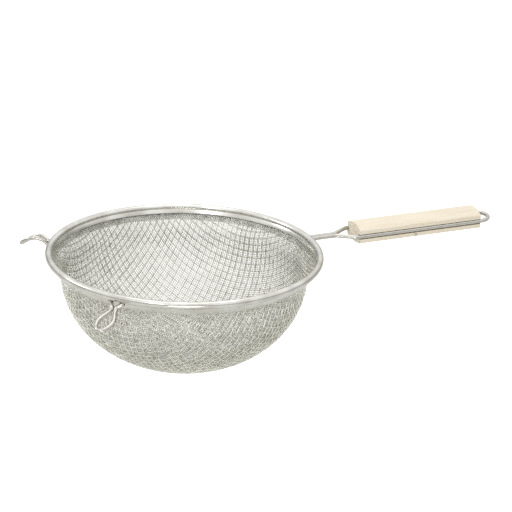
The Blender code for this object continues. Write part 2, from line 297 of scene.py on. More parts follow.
@dataclass(frozen=True)
class BrightWire:
    """Nickel-plated drawn steel wire: nearly a mirror, with fine drawing marks and small dull specks."""

    name: str = "bright_wire"
    bright: str = "#C0BEB8"
    dull: str = "#928F88"
    roughness: float = 0.14
    mark_size: float = 1.6          # mm

    def material(self) -> bpy.types.Material:
        """Build the material on Object coordinates."""
        recipe = Recipe(self.name)
        marks = recipe.noise(recipe.place(), self.mark_size, 5.0, 0.7)
        tint = add_ramp(recipe.tree, marks, (0.28, linear(self.dull)), (0.5, linear(self.bright)))
        return recipe.made(Metallic=1.0, Base_Color=tint, Normal=recipe.relief(marks, 0.1, 0.02),
                           Roughness=recipe.ranged(marks, self.roughness + 0.1, self.roughness - 0.03))


@dataclass(frozen=True)
class PocketPaintedLight:
    """The strip's other face, between the two legs: matt, and painted near white to lighten the shade in the
    pocket between the legs.
    """

    name: str = "pocket_painted_light"
    # near white: painted light that lifts the shade in the pocket between the legs
    colour: str = "#F2F2F0"
    metallic: float = 0.35
    roughness: float = 0.7

    def material(self) -> bpy.types.Material:
        """Build the material."""
        return Recipe(self.name).made(Base_Color=linear(self.colour), Metallic=self.metallic,
                                      Roughness=self.roughness)


@dataclass(frozen=True)
class SandedBeech:
    """Bare sanded beech: pale cream, soft growth bands along the grip, and short fine flecks."""

    name: str = "sanded_beech"
    light: str = "#D6CDBB"
    dark: str = "#CFC4AE"
    fleck: str = "#CDB48F"
    fleck_share: float = 0.07       # how strongly the flecks show
    roughness: float = 0.62
    band_width: float = 4.5         # mm between growth bands
    fleck_width: float = 0.9        # mm from one fleck to the next
    fleck_stretch: float = 0.06     # a fleck's width over its length

    def material(self) -> bpy.types.Material:
        """Build the material on Object coordinates, with the grain along X."""
        recipe = Recipe(self.name)
        place = recipe.place()
        along = recipe.drawn(place, (0.09, 1.0, 0.8), (0.35, 0.015, 0.02))
        bands = recipe.noise(along, self.band_width, 5.0, 0.55, 0.4)
        wood = add_ramp(recipe.tree, bands, (0.33, linear(self.dark)), (0.60, linear(self.light)))
        fibre = recipe.drawn(place, (self.fleck_stretch, 1.0, 1.0))
        flecks = recipe.noise(fibre, self.fleck_width, 2.0, 0.5)
        where = add_ramp(recipe.tree, flecks, (0.60, grey(0.0)), (0.74, grey(self.fleck_share)))
        return recipe.made(Base_Color=recipe.mixed(where, wood, linear(self.fleck)), Specular_IOR_Level=0.4,
                           Normal=recipe.relief(flecks, 0.03, 0.03, invert=True),
                           Roughness=recipe.ranged(bands, self.roughness + 0.06, self.roughness - 0.06))


@dataclass(frozen=True)
class PalePaper:
    """Matt studio paper for the floor. It is lifted to plain white where it is seen straight on, and
    not in reflections, as a sweep that is lit apart from the object is. A soft grey pool lies where
    the bowl hides the paper, so that the weave stands before grey."""

    eye: Vector                     # the camera's place, metres
    drop: float                     # how far below the rim the paper lies, metres
    name: str = "pale_paper"
    colour: str = "#D8D8D5"
    lift: float = 0.8
    pool_lift: float = 0.12
    pool: tuple[Point, ...] = ((0.0, 118.0), (-30.0, 110.0), (-58.0, 97.0), (-80.0, 78.0), (-96.0, 52.0))
    softness: float = 6.0           # mm, of the pool's edge

    def material(self) -> bpy.types.Material:
        """Build the material. The paper is clear from underneath, so that the strainer can be looked
        at from below."""
        recipe = Recipe(self.name)
        tree = recipe.tree
        lift = add_node(tree, "MapRange", {"Value": self.cover(tree, recipe.place()), "To Min": self.lift,
                                           "To Max": self.pool_lift}).outputs["Result"]
        seen = add_node(tree, "LightPath").outputs["Is Camera Ray"]
        glow = add_node(tree, "Math", {0: seen, 1: lift}, operation="MULTIPLY").outputs["Value"]
        side = add_node(tree, "NewGeometry").outputs["Backfacing"]
        clear = add_node(tree, "BsdfTransparent").outputs["BSDF"]
        sheet = add_node(tree, "MixShader", {0: side, 1: recipe.shader.outputs["BSDF"], 2: clear})
        tree.links.new(sheet.outputs["Shader"], tree.nodes["Material Output"].inputs["Surface"])
        return recipe.made(Base_Color=linear(self.colour), Roughness=0.9, Specular_IOR_Level=0.1,
                           Emission_Color=grey(1.0), Emission_Strength=glow)

    def cover(self, tree: bpy.types.NodeTree, place: Socket) -> Socket:
        """The pool: the shadow that the bowl would cast from the camera, as one disc for each level.

        Args:
            tree: the node tree.
            place: the paper's own coordinates.

        Returns:
            From 0 outside the pool to 1 inside it.
        """
        cover = None
        for height, radius in self.pool:
            share = (self.eye.z - height * MM) / (self.eye.z + self.drop)
            offset = ((1.0 - share) * self.eye.x, (1.0 - share) * self.eye.y, 0.0)
            spot = add_node(tree, "VectorMath", {0: place, 1: (share, share, 0.0), 2: offset},
                            operation="MULTIPLY_ADD").outputs["Vector"]
            away = add_node(tree, "VectorMath", {0: spot}, operation="LENGTH").outputs["Value"]
            disc = add_node(tree, "MapRange", {"Value": away, "From Min": radius * MM,
                                               "From Max": (radius - self.softness) * MM},
                            interpolation_type="SMOOTHSTEP").outputs["Result"]
            if cover:
                disc = add_node(tree, "Math", {0: cover, 1: disc}, operation="MAXIMUM").outputs["Value"]
            cover = disc
        return cover


# ---------------------------------------------------------------- the rim's section


@dataclass(frozen=True)
class RimSection:
    """The rim's section, shared by every piece that it holds. The band is rolled over the hoop wire,
    and its two legs run inwards and down with the edges of both meshes between them."""

    radius: float = 126.5           # the bead's centre, from the bowl's axis
    bead: float = 3.5               # outside radius of the rolled bead
    sheet: float = 0.6
    gap: float = 0.3
    slope: float = math.radians(58.0)
    inner_face: float = 2.4         # the inner leg's inside face, across the slope
    inner_leg: float = 6.5          # from the bead's centre along the slope
    outer_leg: float = 12.0
    fine_shell: float = 0.7
    coarse_shell: float = 1.2
    mesh_edge: float = 3.9          # where both meshes end, along the slope
    hole_along: float = 5.6         # a hook hole's centre, along the slope
    punch_along: float = 6.9        # an empty hole's centre
    drill_past: float = 3.0         # how far past the outside face a drill runs

    @property
    def fine_face(self) -> float:
        """The fine mesh's outer face, across the slope."""
        return self.inner_face - self.sheet - self.gap - self.fine_shell

    @property
    def coarse_face(self) -> float:
        """The coarse mesh's outer face, across the slope."""
        return self.fine_face - self.gap - self.coarse_shell

    @property
    def outer_face(self) -> float:
        """The outer leg's outside face, across the slope."""
        return self.coarse_face - self.gap - self.sheet

    def point(self, across: float, along: float) -> Point:
        """A place in the section.

        Args:
            across: towards the inside of the bowl, across the legs.
            along: inwards and down, along the legs.

        Returns:
            Its distance from the bowl's axis, and its height.
        """
        radius = self.radius - along * math.cos(self.slope) - across * math.sin(self.slope)
        return radius, -along * math.sin(self.slope) + across * math.cos(self.slope)

    def spot(self, across: float, along: float) -> Vector:
        """The same place in the plane of X and Z, in metres."""
        radius, height = self.point(across, along)
        return Vector((radius * MM, 0.0, height * MM))

    def place(self, radius: float, height: float) -> Point:
        """The across and along of a point in the section, the reverse of point()."""
        out = radius - self.radius
        across = -out * math.sin(self.slope) + height * math.cos(self.slope)
        return across, -out * math.cos(self.slope) - height * math.sin(self.slope)


def around(angle: float, radius: float, side: float, height: float) -> Vector:
    """A point by its angle round the rim, its distance out, its sideways place and its height."""
    out = Vector((math.cos(angle), math.sin(angle), 0.0))
    sideways = Vector((-math.sin(angle), math.cos(angle), 0.0))
    return out * radius + sideways * side + Vector((0.0, 0.0, height))


# ---------------------------------------------------------------- modelling helpers


def deselect_all() -> None:
    """Leave nothing selected and nothing active, so that an operator acts only on the next piece."""
    if bpy.context.object and bpy.context.object.mode != "OBJECT":
        bpy.ops.object.mode_set(mode="OBJECT")
    bpy.ops.object.select_all(action="DESELECT")
    bpy.context.view_layer.objects.active = None


def make_active(piece: bpy.types.Object) -> None:
    """Select this piece alone."""
    deselect_all()
    piece.select_set(True)
    bpy.context.view_layer.objects.active = piece


def apply_place() -> None:
    """Put the active piece's place, turn and size into its mesh."""
    bpy.ops.object.transform_apply(location=True, rotation=True, scale=True)


def smooth(piece: bpy.types.Object, degrees: float) -> None:
    """Shade a piece smooth, but for edges sharper than an angle."""
    make_active(piece)
    bpy.ops.object.shade_smooth_by_angle(angle=math.radians(degrees))


def apply_modifier(piece: bpy.types.Object, kind: str, **settings: Any) -> None:
    """Add a modifier with its settings, and apply it.

    Args:
        piece: the mesh object.
        kind: the modifier's type.
        settings: its properties by name.
    """
    modifier = piece.modifiers.new(kind.title(), kind)
    for name, value in settings.items():
        setattr(modifier, name, value)
    make_active(piece)
    bpy.ops.object.modifier_apply(modifier=modifier.name)


def bevel(piece: bpy.types.Object, width: float, segments: int, degrees: float) -> None:
    """Round the edges sharper than an angle, by a width in millimetres."""
    apply_modifier(piece, "BEVEL", width=width * MM, segments=segments, limit_method="ANGLE",
                   angle_limit=math.radians(degrees))


def subtract(piece: bpy.types.Object, tool: bpy.types.Object) -> None:
    """Cut a tool's shape out of a piece, and remove the tool."""
    apply_modifier(piece, "BOOLEAN", operation="DIFFERENCE", solver="EXACT", object=tool)
    bpy.data.objects.remove(tool, do_unlink=True)


def aimed(place: Vector, axis: Vector) -> Matrix:
    """A place in millimetres, with Z turned along an axis."""
    return Matrix.Translation(place * MM) @ axis.to_track_quat("Z", "Y").to_matrix().to_4x4()


def select_vertices(piece: bpy.types.Object, wanted: Any) -> int:
    """In edit mode, select just the vertices that pass a test.

    Args:
        piece: the mesh object, in edit mode.
        wanted: a function of a vertex's place in metres.

    Returns:
        How many are selected.
    """
    shape = bmesh.from_edit_mesh(piece.data)
    count = 0
    for vertex in shape.verts:
        vertex.select = bool(wanted(vertex.co))
        count += vertex.select
    shape.select_flush_mode()
    bmesh.update_edit_mesh(piece.data)
    return count


def hand_in(piece: bpy.types.Object, name: str, finish: bpy.types.Material, slot: Slot,
            *stands_for: str) -> bpy.types.Object:
    """Name a finished piece, dress it, and set it riding on the frame.

    Args:
        piece: the finished mesh object.
        name: its name.
        finish: its material.
        slot: not used.
        stands_for: the CAD nodes that it replaces.

    Returns:
        The same object.
    """
    piece.name = name
    piece.data.name = name
    piece.data.materials.clear()
    piece.data.materials.append(finish)
    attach(piece, "root")
    if stands_for:
        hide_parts(*stands_for)
    LOG.info("%s: %d faces", name, len(piece.data.polygons))
    return piece


def bend_wire(name: str, route: list[Vector], radius: float) -> bpy.types.Object:
    """A round wire along a route, as a mesh with closed ends.

    Args:
        name: the object's name.
        route: the wire's centre, in millimetres.
        radius: the wire's radius, in millimetres.

    Returns:
        The mesh object, smooth but for its cut ends.
    """
    deselect_all()
    curve = bpy.data.curves.new(name, "CURVE")
    curve.dimensions = "3D"
    curve.bevel_depth = radius * MM
    curve.bevel_resolution = 7
    curve.use_fill_caps = True
    spline = curve.splines.new("POLY")
    spline.points.add(len(route) - 1)
    for target, point in zip(spline.points, route):
        target.co = (*(point * MM), 1.0)
    piece = bpy.data.objects.new(name, curve)
    bpy.context.scene.collection.objects.link(piece)
    make_active(piece)
    bpy.ops.object.convert(target="MESH")
    piece = bpy.context.object
    bpy.ops.object.mode_set(mode="EDIT")
    bpy.ops.mesh.select_all(action="SELECT")
    bpy.ops.mesh.remove_doubles(threshold=MERGE)
    bpy.ops.object.mode_set(mode="OBJECT")
    smooth(piece, 50.0)
    return piece


def smooth_route(knots: list[Vector], steps: int) -> list[Vector]:
    """A smooth curve through the knots.

    Args:
        knots: the points that it passes through.
        steps: points for each stretch.

    Returns:
        The curve's points, both ends included.
    """
    padded = [knots[0] * 2 - knots[1]] + knots + [knots[-1] * 2 - knots[-2]]
    route = []
    for i in range(1, len(padded) - 2):
        a, b, c, d = padded[i - 1:i + 3]
        for step in range(steps):
            t = step / steps
            route.append(0.5 * (2 * b + (c - a) * t + (2 * a - 5 * b + 4 * c - d) * t * t
                                + (3 * b - a - 3 * c + d) * t ** 3))
    route.append(knots[-1].copy())
    return route


def drill(piece: bpy.types.Object, start: Vector, end: Vector, radius: float) -> None:
    """Drill a round hole through a piece.

    Args:
        piece: the mesh object.
        start: one end of the drill's path, in millimetres.
        end: the other end.
        radius: the hole's radius, in millimetres.
    """
    axis = end - start
    deselect_all()
    bpy.ops.mesh.primitive_cylinder_add(vertices=40, radius=radius * MM, depth=axis.length * MM)
    tool = bpy.context.object
    tool.matrix_world = aimed((start + end) * 0.5, axis)
    bpy.context.view_layer.update()
    subtract(piece, tool)


# ---------------------------------------------------------------- the rim


@dataclass
class Rim:
    """The rolled band and the hoop wire inside its bead."""

    section: RimSection
    holes: list[Hole]
    turns: int = 256                # steps round the rim
    bead_points: int = 40
    mouth_slack: float = 0.25       # mm that the bead is cut back past the legs' faces
    edge_round: float = 0.14        # mm, on the sheet's cut edges

    def build(self, finish: Finish, pocket_finish: Finish) -> None:
        """Roll the band, drill it, and dress its outside and the pocket between its legs."""
        steel = finish.material()
        band = self.rolled_band()
        for start, end, radius in self.holes:
            drill(band, start, end, radius)
        self.mark_strip(band)
        smooth(band, 38.0)
        hand_in(band, "rolled_rim", steel, Slot.RIM, "rim_band")
        # the faces between the legs take the near-white finish, painted light for the shaded pocket
        band.data.materials.append(pocket_finish.material())
        half = 0.5 * self.section.sheet
        for face in band.data.polygons:
            spot = face.center / MM
            across, along = self.section.place(math.hypot(spot.x, spot.y), spot.z)
            inside = self.section.outer_face + half < across < self.section.inner_face - half
            face.material_index = int(inside and along > self.section.bead)

    def rolled_band(self) -> bpy.types.Object:
        """The band: its section drawn from a ring, spun round the bowl's axis and given its thickness."""
        cut = self.section
        feet = [(face, math.sqrt(cut.bead ** 2 - face ** 2)) for face in (cut.inner_face, cut.outer_face)]
        ends = [(cut.inner_face, cut.inner_leg), (cut.outer_face, cut.outer_leg)]
        deselect_all()
        bpy.ops.mesh.primitive_circle_add(vertices=self.bead_points, radius=cut.bead * MM,
                                          location=(cut.radius * MM, 0.0, 0.0),
                                          rotation=(0.5 * math.pi, 0.0, 0.0))
        band = bpy.context.object
        apply_place()
        bpy.ops.object.mode_set(mode="EDIT")

        def between_legs(spot: Vector) -> bool:
            """Whether a point of the ring lies in the mouth between the two feet."""
            across, along = cut.place(spot.x / MM, spot.z / MM)
            slack = self.mouth_slack
            return along > 0.0 and cut.outer_face - slack < across < cut.inner_face + slack

        select_vertices(band, between_legs)
        bpy.ops.mesh.delete(type="VERT")
        for foot, end in zip(feet, ends):
            start = self.loose_end(band, foot)
            for target in (foot, end):
                goal = cut.spot(*target)
                bpy.ops.mesh.extrude_region_move(TRANSFORM_OT_translate={"value": goal - start})
                start = goal
        bpy.ops.mesh.select_all(action="SELECT")
        bpy.ops.mesh.spin(steps=self.turns, angle=2.0 * math.pi, center=(0.0, 0.0, 0.0), axis=(0.0, 0.0, 1.0))
        bpy.ops.mesh.select_all(action="SELECT")
        bpy.ops.mesh.remove_doubles(threshold=MERGE)
        bpy.ops.mesh.normals_make_consistent(inside=False)
        bpy.ops.object.mode_set(mode="OBJECT")
        outermost = max(band.data.polygons, key=lambda face: math.hypot(face.center.x, face.center.y))
        if outermost.normal.dot(outermost.center) < 0.0:
            band.data.flip_normals()
        apply_modifier(band, "SOLIDIFY", thickness=cut.sheet * MM, offset=-1.0, use_even_offset=True)
        bevel(band, self.edge_round, 2, 60.0)
        return band

    def loose_end(self, band: bpy.types.Object, foot: Point) -> Vector:
        """Select the open section's vertex nearest a foot of the bead.

        Args:
            band: the section, in edit mode.
            foot: across and along.

        Returns:
            The vertex's place, in metres.
        """
        goal = self.section.spot(*foot)
        shape = bmesh.from_edit_mesh(band.data)
        nearest = min((v for v in shape.verts if len(v.link_edges) == 1), key=lambda v: (v.co - goal).length)
        spot = nearest.co.copy()
        select_vertices(band, lambda place: (place - spot).length < 1e-7)
        return spot

    def mark_strip(self, band: bpy.types.Object) -> None:
        """Store each vertex's place along and across the strip, in metres, for the roller lines."""
        count = len(band.data.vertices)
        spots = np.zeros(count * 3, np.float32)
        band.data.vertices.foreach_get("co", spots)
        spots = spots.reshape(count, 3)
        radius = np.hypot(spots[:, 0], spots[:, 1])
        centre = self.section.radius * MM
        turn = np.arctan2(spots[:, 2], radius - centre)
        marks = np.zeros((count, 3), np.float32)
        # the angle folds over at the back of the bowl, where the band's joint is
        marks[:, 0] = np.abs(np.arctan2(spots[:, 1], spots[:, 0])) * centre
        marks[:, 1] = turn * self.section.bead * MM + np.hypot(radius - centre, spots[:, 2])
        layer = band.data.attributes.new("strip", "FLOAT_VECTOR", "POINT")
        layer.data.foreach_set("vector", marks.ravel())


# ---------------------------------------------------------------- the woven bowl


def unit(rows: np.ndarray) -> np.ndarray:
    """Each row as a vector of length one."""
    return rows / np.linalg.norm(rows, axis=1)[:, None]


def lengths(path: np.ndarray) -> np.ndarray:
    """The length along a path at each of its points."""
    return np.concatenate([[0.0], np.cumsum(np.linalg.norm(np.diff(path, axis=0), axis=1))])


@dataclass
class BowlShape:
    """The turned shape that both meshes are pressed to."""

    section: RimSection
    top: float = -11.0
    radius: float = 115.9
    depth: float = 97.0
    fullness: float = 2.2           # 2 is an ellipse, more is a fuller bowl
    start: float = 0.082            # radians down the curve, where the bowl leaves the rim's slope for it
    bend_along: float = 19.5
    bend_shift: float = 0.287       # how much later a mesh bends for each millimetre that it lies inside
    spread: float = 3.0             # mm over which the bend is eased
    spare: float = 30.0             # mm of slope past the mesh's edge, which is trimmed off
    points: int = 600               # on the curve
    step: float = 0.25              # mm between the profile's points

    def middle(self, face: float, inset: float, shell: float) -> tuple[np.ndarray, float]:
        """The middle surface of one mesh, as a profile from the bottom up.

        Args:
            face: the mesh's outer face across the rim's slope.
            inset: how far it lies inside the bowl's outline.
            shell: its thickness.

        Returns:
            Rows of length along the profile, radius, height, and the outward normal's two parts,
            with the length at which the mesh's edge comes.
        """
        bend = self.bend_along + self.bend_shift * inset
        top = self.top + self.bend_shift * inset
        fall = top - (self.top - self.depth + inset)
        angles = np.linspace(0.5 * math.pi, self.start, self.points)
        bowl = np.stack([(self.radius - inset) * np.cos(angles),
                         top - fall * np.sin(angles) ** (2.0 / self.fullness)], axis=1)
        bowl[0, 0] = 0.0
        lines = [bend, self.section.mesh_edge, self.section.mesh_edge - self.spare]
        slope = np.array([self.section.point(face, along) for along in lines])
        outline = np.concatenate([bowl, slope])
        edge_at = slope[1]
        reach = lengths(outline)
        places = np.arange(0.0, reach[-1], self.step)
        path = np.stack([np.interp(places, reach, outline[:, k]) for k in (0, 1)], axis=1)
        path = self.eased(path)
        ahead = unit(np.gradient(path, axis=0))
        outward = np.stack([ahead[:, 1], -ahead[:, 0]], axis=1)
        path = path - outward * 0.5 * shell
        path[0, 0] = 0.0
        reach = lengths(path)
        edge = reach[np.argmin(np.linalg.norm(path - edge_at, axis=1))]
        return np.column_stack([reach, path, outward]), float(edge)

    def eased(self, path: np.ndarray) -> np.ndarray:
        """Round the bend by averaging the path over a short length, with both ends kept."""
        half = int(self.spread / self.step)
        mirror = path[half:0:-1] * np.array([-1.0, 1.0])
        tail = 2.0 * path[-1] - path[-2:-half - 2:-1]
        padded = np.concatenate([mirror, path, tail])
        kernel = np.ones(2 * half + 1) / (2 * half + 1)
        return np.stack([np.convolve(padded[:, k], kernel, mode="valid") for k in (0, 1)], axis=1)


@dataclass
class WovenMesh:
    """One plain-woven wire mesh, pressed into the bowl. Its wires spread a little where they run
    straight up the wall, and close up to upright diamonds between those places, as pressed mesh does."""

    name: str
    node: str
    face: float
    inset: float
    shell: float
    pitch: float                    # mm between wires
    wire: float                     # wire radius, mm
    grain: float                    # the angle of one set of wires from the handle
    sides: int
    rings: int                      # points from one crossing to the next
    halves: int                     # pieces for each set of wires
    holes: list[Hole]   # the band's holes, round which shade is painted on the wires
    crimp: float = 0.85             # how far a wire swings to each side, in its own radii
    spread: float = 0.16            # how much the wires spread towards the rim, on the grain
    stretch: float = 0.10           # how much the cells lengthen towards the rim, between the grains
    sway: float = 0.35              # mm that a wire strays from its true line
    sway_length: float = 31.0       # mm
    grime_past: float = 0.6         # mm past a hole's outline that are fully painted with shade
    grime_fade: float = 0.8         # mm over which the painted shade then fades out
    grime_deep: float = 12.0        # mm from a drill's start to where the painted shade ends

    def build(self, bowl: BowlShape, finish: Finish) -> None:
        """Weave both sets of wires and dress them."""
        steel = finish.material()
        profile, edge = bowl.middle(self.face, self.inset, self.shell)
        for family in Family:
            runs = self.wires(family, profile, edge)
            share = math.ceil(len(runs) / self.halves)
            for half in range(self.halves):
                label = f"{self.name}_{family.name.lower()}" + ("" if self.halves == 1 else f"_{half + 1}")
                piece = self.tubes(label, runs[half * share:(half + 1) * share])
                hand_in(piece, label, steel, Slot.MESH)
        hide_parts(self.node)

    def press(self, profile: np.ndarray, flat: np.ndarray) -> tuple[np.ndarray, np.ndarray, np.ndarray]:
        """Press flat cloth into the bowl.

        Args:
            profile: the middle surface, from the bottom up.
            flat: points on the flat cloth, in millimetres from its middle.

        Returns:
            The points on the bowl, the outward normals there, and their lengths along the profile.
        """
        whole = profile[-1, 0]
        reach = np.hypot(flat[:, 0], flat[:, 1])
        turn = np.arctan2(flat[:, 1], flat[:, 0])
        share = np.minimum(reach / whole, 1.0) ** 2
        length = reach * (1.0 + self.stretch * share * np.sin(2.0 * turn) ** 2)
        turn = turn + self.spread * share * np.sin(4.0 * turn) / 4.0 + self.grain
        radius, height, out, rise = (np.interp(length, profile[:, 0], profile[:, k]) for k in (1, 2, 3, 4))
        spots = np.stack([radius * np.cos(turn), radius * np.sin(turn), height], axis=-1)
        normals = np.stack([out * np.cos(turn), out * np.sin(turn), rise], axis=-1)
        return spots, normals, length

    def wires(self, family: Family, profile: np.ndarray, edge: float) -> list[Wire]:
        """Follow each wire of one set across the bowl, over and under the other set.

        Args:
            family: which set.
            profile: the middle surface.
            edge: the length along it at which the mesh ends.

        Returns:
            For each wire its centre line and the surface's normals along it, in millimetres.
        """
        count = int(edge / self.pitch)
        steps = np.arange(-count * self.rings, count * self.rings + 1) / self.rings
        runs = []
        for row in range(-count, count + 1):
            along = steps * self.pitch
            phase = along / self.sway_length + 0.7 * row * self.pitch / self.sway_length + family.value
            across = row * self.pitch + self.sway * np.sin(phase)
            columns = (across, along) if family is Family.WARP else (along, across)
            spots, normals, length = self.press(profile, np.stack(columns, axis=-1))
            swing = family.value * (-1) ** row * self.crimp * self.wire * np.cos(np.pi * steps)
            held = np.flatnonzero(length <= edge)
            if len(held) > 3:
                span = slice(held[0], held[-1] + 1)
                runs.append((spots[span] + normals[span] * swing[span, None], normals[span]))
        return runs

    def grime(self, spots: np.ndarray) -> np.ndarray:
        """How much painted shade each point takes: full inside a hole's outline, none a little way outside
        it.
        """
        level = np.zeros(len(spots))
        for start, end, radius in self.holes:
            axis = np.array((end - start).normalized())
            away = spots - np.array(start)
            off = np.linalg.norm(away - (away @ axis)[:, None] * axis, axis=1)
            near = np.linalg.norm(away, axis=1) < self.grime_deep
            fade = 1.0 + (radius + self.grime_past - off) / self.grime_fade
            level = np.maximum(level, near * np.clip(fade, 0.0, 1.0))
        return level

    def tubes(self, label: str, runs: list[Wire]) -> bpy.types.Object:
        """Make one mesh of many wires, each a closed tube.

        Args:
            label: the object's name.
            runs: each wire's centre line and normals.

        Returns:
            The mesh object.
        """
        column = np.arange(self.sides)
        angles = 2.0 * math.pi * (column + 0.5) / self.sides
        out, rise = np.cos(angles)[None, :, None], np.sin(angles)[None, :, None]
        points, quads, caps = [], [], []
        base = 0
        for line, normal in runs:
            ahead = unit(np.gradient(line, axis=0))
            sideways = unit(np.cross(ahead, normal))
            up = np.cross(sideways, ahead)
            ring = line[:, None, :] + self.wire * (out * sideways[:, None, :] + rise * up[:, None, :])
            points.append(ring.reshape(-1, 3))
            starts = base + np.arange(len(line))[:, None] * self.sides
            here, beside = starts[:-1] + column, starts[:-1] + (column + 1) % self.sides
            quad = [here, here + self.sides, beside + self.sides, beside]
            quads.append(np.stack(quad, axis=-1).reshape(-1, 4))
            caps += [base + column, starts[-1] + column[::-1]]
            base += len(line) * self.sides
        mesh = bpy.data.meshes.new(label)
        corners = np.concatenate([np.concatenate(quads).ravel(), np.concatenate(caps)])
        sizes = np.concatenate([np.full(sum(len(q) for q in quads), 4), np.full(len(caps), self.sides)])
        mesh.vertices.add(base)
        mesh.vertices.foreach_set("co", (np.concatenate(points) * MM).astype(np.float32).ravel())
        mesh.loops.add(len(corners))
        mesh.loops.foreach_set("vertex_index", corners.astype(np.int32))
        mesh.polygons.add(len(sizes))
        firsts = np.concatenate([[0], np.cumsum(sizes)[:-1]])
        mesh.polygons.foreach_set("loop_start", firsts.astype(np.int32))
        mesh.update(calc_edges=True)
        mesh.validate()
        mesh.polygons.foreach_set("use_smooth", np.ones(len(mesh.polygons), bool))
        # painted shade round the band's holes, read by the wire's material
        layer = mesh.attributes.new("grime", "FLOAT", "POINT")
        layer.data.foreach_set("value", self.grime(np.concatenate(points)).astype(np.float32))
        piece = bpy.data.objects.new(label, mesh)
        bpy.context.scene.collection.objects.link(piece)
        return piece


# ---------------------------------------------------------------- the hooks


@dataclass
class PotHook:
    """One bent wire hook: out of two holes in the band, in to a neck, and round a loop."""

    section: RimSection
    side: Side
    spine: list[Point]              # distance from the bowl's axis, and height, seen from the side
    twist: float                    # how much one side of the loop is lifted for each unit of width
    turn: float = math.radians(142.0)
    wire: float = 2.0
    half_pitch: float = 6.0
    neck: float = 2.35
    loop: float = 7.3
    loop_length: float = 12.6
    neck_delay: float = 1.5
    end_tilt: float = 0.15
    steps: int = 14
    round_steps: int = 28
    hole: float = 2.8

    @property
    def angle(self) -> float:
        """Where the hook stands round the rim."""
        return self.turn * self.side.value

    def build(self, finish: Finish) -> None:
        """Bend the hook and dress it."""
        label = self.side.name.lower()
        piece = bend_wire(f"hook_{label}", self.route(), self.wire)
        hand_in(piece, f"bucket_hook_{label}", finish.material(), Slot.WIRE, f"pot_hook_{label}")

    def holes(self) -> list[Hole]:
        """The two holes that the hook passes through: each drill's start, end and radius."""
        route = self.route()
        found = []
        for first, second in ((route[0], route[self.steps]), (route[-1], route[-1 - self.steps])):
            outward = (second - first).normalized()
            found.append((first + outward * self.section.gap,
                          second + outward * self.section.drill_past, self.hole))
        return found

    def route(self) -> list[Vector]:
        """The wire's centre, in millimetres."""
        cut = self.section
        buried = cut.point(cut.inner_face - cut.sheet - cut.gap - self.end_tilt, cut.hole_along)
        root_place = cut.point(cut.outer_face, cut.hole_along)
        knots = [Vector((*spot, 0.0)) for spot in (buried, root_place, *self.spine)]
        fine = smooth_route(knots, self.steps)
        reach = [0.0]
        for a, b in zip(fine, fine[1:]):
            reach.append(reach[-1] + (b - a).length)
        root, neck = reach[self.steps], reach[2 * self.steps] + self.neck_delay
        widest = reach[-1] - self.loop_length
        half = []
        for point, place in zip(fine, reach):
            if place > widest:
                break
            width = self.width(place, root, neck, widest)
            lift = self.twist * max(0.0, place - root) / (widest - root) * width
            half.append((point.x, width, point.y, lift))
        for step in range(self.round_steps + 1):
            phase = 0.5 * math.pi * step / self.round_steps
            place = widest + self.loop_length * math.sin(phase)
            index = max(i for i, value in enumerate(reach[:-1]) if value <= place + 1e-9)
            share = min(1.0, (place - reach[index]) / (reach[index + 1] - reach[index]))
            spot = fine[index].lerp(fine[index + 1], share)
            width = self.loop * math.cos(phase)
            half.append((spot.x, width, spot.y, self.twist * width))
        near = [around(self.angle, r, w, z + lift) for r, w, z, lift in half[:-1]]
        far = [around(self.angle, r, -w, z - lift) for r, w, z, lift in reversed(half[:-1])]
        return near + [around(self.angle, half[-1][0], 0.0, half[-1][2])] + far

    def width(self, place: float, root: float, neck: float, widest: float) -> float:
        """Half the distance between the hook's two legs at a place along its spine."""
        if place <= root:
            return self.half_pitch
        if place <= neck:
            return eased(self.half_pitch, self.neck, (place - root) / (neck - root))
        return eased(self.neck, self.loop, (place - neck) / (widest - neck))


def eased(start: float, end: float, share: float) -> float:
    """A value between two others that leaves and arrives gently."""
    return start + (end - start) * (0.5 - 0.5 * math.cos(math.pi * share))


# ---------------------------------------------------------------- the handle


